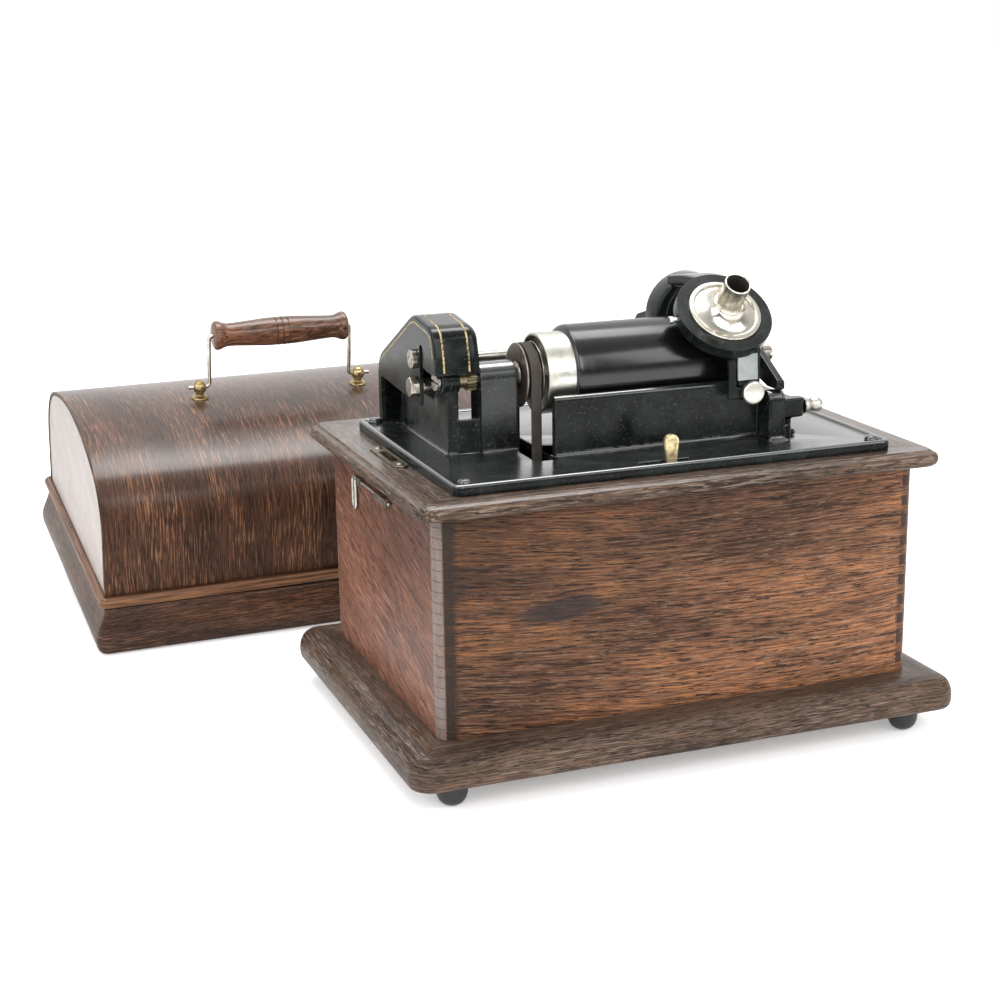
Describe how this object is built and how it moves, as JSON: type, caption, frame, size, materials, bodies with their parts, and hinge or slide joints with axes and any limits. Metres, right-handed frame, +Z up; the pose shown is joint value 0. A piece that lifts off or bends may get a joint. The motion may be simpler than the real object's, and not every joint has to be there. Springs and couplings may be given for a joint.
{
  "type": "cylinder phonograph",
  "caption": "Oak-cased spring-driven cylinder phonograph with black cast bed, nickel mandrel, record, tilting reproducer arm and end gate, its bentwood carrying lid beside it.",
  "frame": {"origin": "on the floor, under the middle of the box round the machine and its standing lid", "axes": "+X to the machine's right as its front is seen, +Y from its front to its back and on to the lid, +Z up"},
  "size_m": [0.4824, 0.5934, 0.2858],
  "materials": {
    "oak": "dark stained, polished",
    "lid_oak": "reddish stained, polished",
    "japanned_iron": "black japanning with a dark green cast",
    "nickel": "worn nickel plate",
    "steel": "machined steel",
    "brass": "aged brass",
    "rubber": "matte black",
    "belt_leather": "rough brown leather",
    "record_black": "fine grooved gloss black",
    "mica": "thin disc",
    "turned_wood": "turned and polished"
  },
  "bodies": {
    "machine": {"case_front": "oak", "case_back": "oak", "case_left": "oak", "case_right": "oak", "base_moulding": "oak", "floor_panel": "oak", "feet": "rubber", "top_moulding": "oak", "slot_plate": "nickel", "latch_staples": "nickel", "bed_casting": "japanned_iron", "bed_screws": "japanned_iron", "gear_cover": "japanned_iron", "cover_bolt": "nickel", "idler_stud": "nickel", "back_rod": "steel", "drive_belt": "belt_leather", "motor_frame": "japanned_iron", "suspension_bolts": "steel"},
    "latch_wire": {"lid_latch": "nickel"},
    "mandrel": {"mandrel_shaft": "steel", "mandrel": "nickel", "record": "record_black", "mandrel_pulley": "steel", "mandrel_gear": "brass"},
    "idler": {"idler_gear": "brass"},
    "feed": {"feed_gear": "steel", "feed_screw": "steel"},
    "carriage": {"carriage_sleeve": "steel"},
    "arm": {"speaker_arm": "japanned_iron", "clamp_pin": "nickel", "half_nut": "brass", "reproducer_pan": "japanned_iron", "reproducer_cap": "nickel", "diaphragm": "mica", "gaskets": "rubber"},
    "weight": {"floating_weight": "steel", "stylus": "nickel"},
    "lever": {"lift_lever": "japanned_iron", "lift_knob": "nickel"},
    "gate": {"end_gate": "japanned_iron", "centre_screw": "nickel"},
    "gate_latch": {"gate_latch": "japanned_iron", "latch_knob": "nickel"},
    "start": {"start_lever": "brass"},
    "winding": {"winding_shaft": "steel"},
    "barrel": {"spring_barrel": "steel", "mainspring": "steel"},
    "second": {"second_arbor": "brass"},
    "third": {"third_arbor": "brass", "drive_pulley": "steel"},
    "governor": {"governor": "brass"},
    "lid": {"lid_moulding": "lid_oak", "lid_shell": "lid_oak", "lid_ends": "lid_oak", "lid_hooks": "steel", "handle_posts": "brass"},
    "handle": {"handle_bail": "steel", "handle_grip": "turned_wood"}
  },
  "joints": [
    {"name": "mandrel_spin", "type": "hinge", "parent": "machine", "child": "mandrel", "pos_m": [0.06373, -0.18871, 0.2278], "axis": [1, 0, 0], "continuous": true},
    {"name": "idler_spin", "type": "hinge", "parent": "machine", "child": "idler", "pos_m": [-0.03827, -0.16527, 0.23809], "axis": [1, 0, 0], "continuous": true},
    {"name": "feed_spin", "type": "hinge", "parent": "machine", "child": "feed", "pos_m": [0.06373, -0.13436, 0.22981], "axis": [1, 0, 0], "continuous": true},
    {"name": "third_spin", "type": "hinge", "parent": "machine", "child": "third", "pos_m": [0.06373, -0.18871, 0.10818], "axis": [1, 0, 0], "continuous": true},
    {"name": "second_spin", "type": "hinge", "parent": "machine", "child": "second", "pos_m": [0.06373, -0.1847, 0.0709], "axis": [1, 0, 0], "continuous": true},
    {"name": "barrel_spin", "type": "hinge", "parent": "machine", "child": "barrel", "pos_m": [0.04373, -0.13771, 0.088], "axis": [1, 0, 0], "continuous": true},
    {"name": "governor_spin", "type": "hinge", "parent": "machine", "child": "governor", "pos_m": [0.06373, -0.22565, 0.1147], "axis": [1, 0, 0], "continuous": true},
    {"name": "winding_spin", "type": "hinge", "parent": "machine", "child": "winding", "pos_m": [0.16373, -0.13771, 0.088], "axis": [1, 0, 0], "continuous": true},
    {"name": "carriage_slide", "type": "slide", "parent": "machine", "child": "carriage", "axis": [1, 0, 0], "range_m": [-0.095, 0.002]},
    {"name": "arm_lift", "type": "hinge", "parent": "carriage", "child": "arm", "pos_m": [0.11473, -0.10971, 0.2128], "axis": [-1, 0, 0], "range_deg": [0, 35]},
    {"name": "weight_float", "type": "hinge", "parent": "arm", "child": "weight", "pos_m": [0.11473, -0.2016, 0.26092], "axis": [-1, 0, 0], "range_deg": [-0.9, 2]},
    {"name": "lift_turn", "type": "hinge", "parent": "arm", "child": "lever", "pos_m": [0.12573, -0.23171, 0.2143], "axis": [0, -1, 0], "range_deg": [0, 60]},
    {"name": "gate_swing", "type": "hinge", "parent": "machine", "child": "gate", "pos_m": [0.14273, -0.13171, 0.2078], "axis": [0, 0, 1], "range_deg": [0, 60]},
    {"name": "latch_turn", "type": "hinge", "parent": "machine", "child": "gate_latch", "pos_m": [0.15373, -0.22571, 0.1888], "axis": [0, 0, 1], "range_deg": [0, 60]},
    {"name": "start_slide", "type": "slide", "parent": "machine", "child": "start", "axis": [1, 0, 0], "range_m": [-0.015, 0.008]},
    {"name": "latch_wire_swing", "type": "hinge", "parent": "machine", "child": "latch_wire", "pos_m": [-0.09117, -0.15571, 0.157], "axis": [0, 1, 0], "range_deg": [0, 12]},
    {"name": "lid_lift", "type": "slide", "parent": "machine", "child": "lid", "axis": [0, 0, 1], "range_m": [0, 0.3]},
    {"name": "handle_swing", "type": "hinge", "parent": "lid", "child": "handle", "pos_m": [-0.07113, 0.15055, 0.16897], "axis": [0.9995, 0.0314, 0], "range_deg": [-70, 70]}
  ],
  "couplings": [
    {"joint": "idler_spin", "follows": "mandrel_spin", "ratio": -0.33333},
    {"joint": "feed_spin", "follows": "mandrel_spin", "ratio": 0.5},
    {"joint": "third_spin", "follows": "mandrel_spin", "ratio": 1},
    {"joint": "second_spin", "follows": "mandrel_spin", "ratio": -0.25},
    {"joint": "barrel_spin", "follows": "mandrel_spin", "ratio": 0.0625},
    {"joint": "governor_spin", "follows": "mandrel_spin", "ratio": -4}
  ]
}
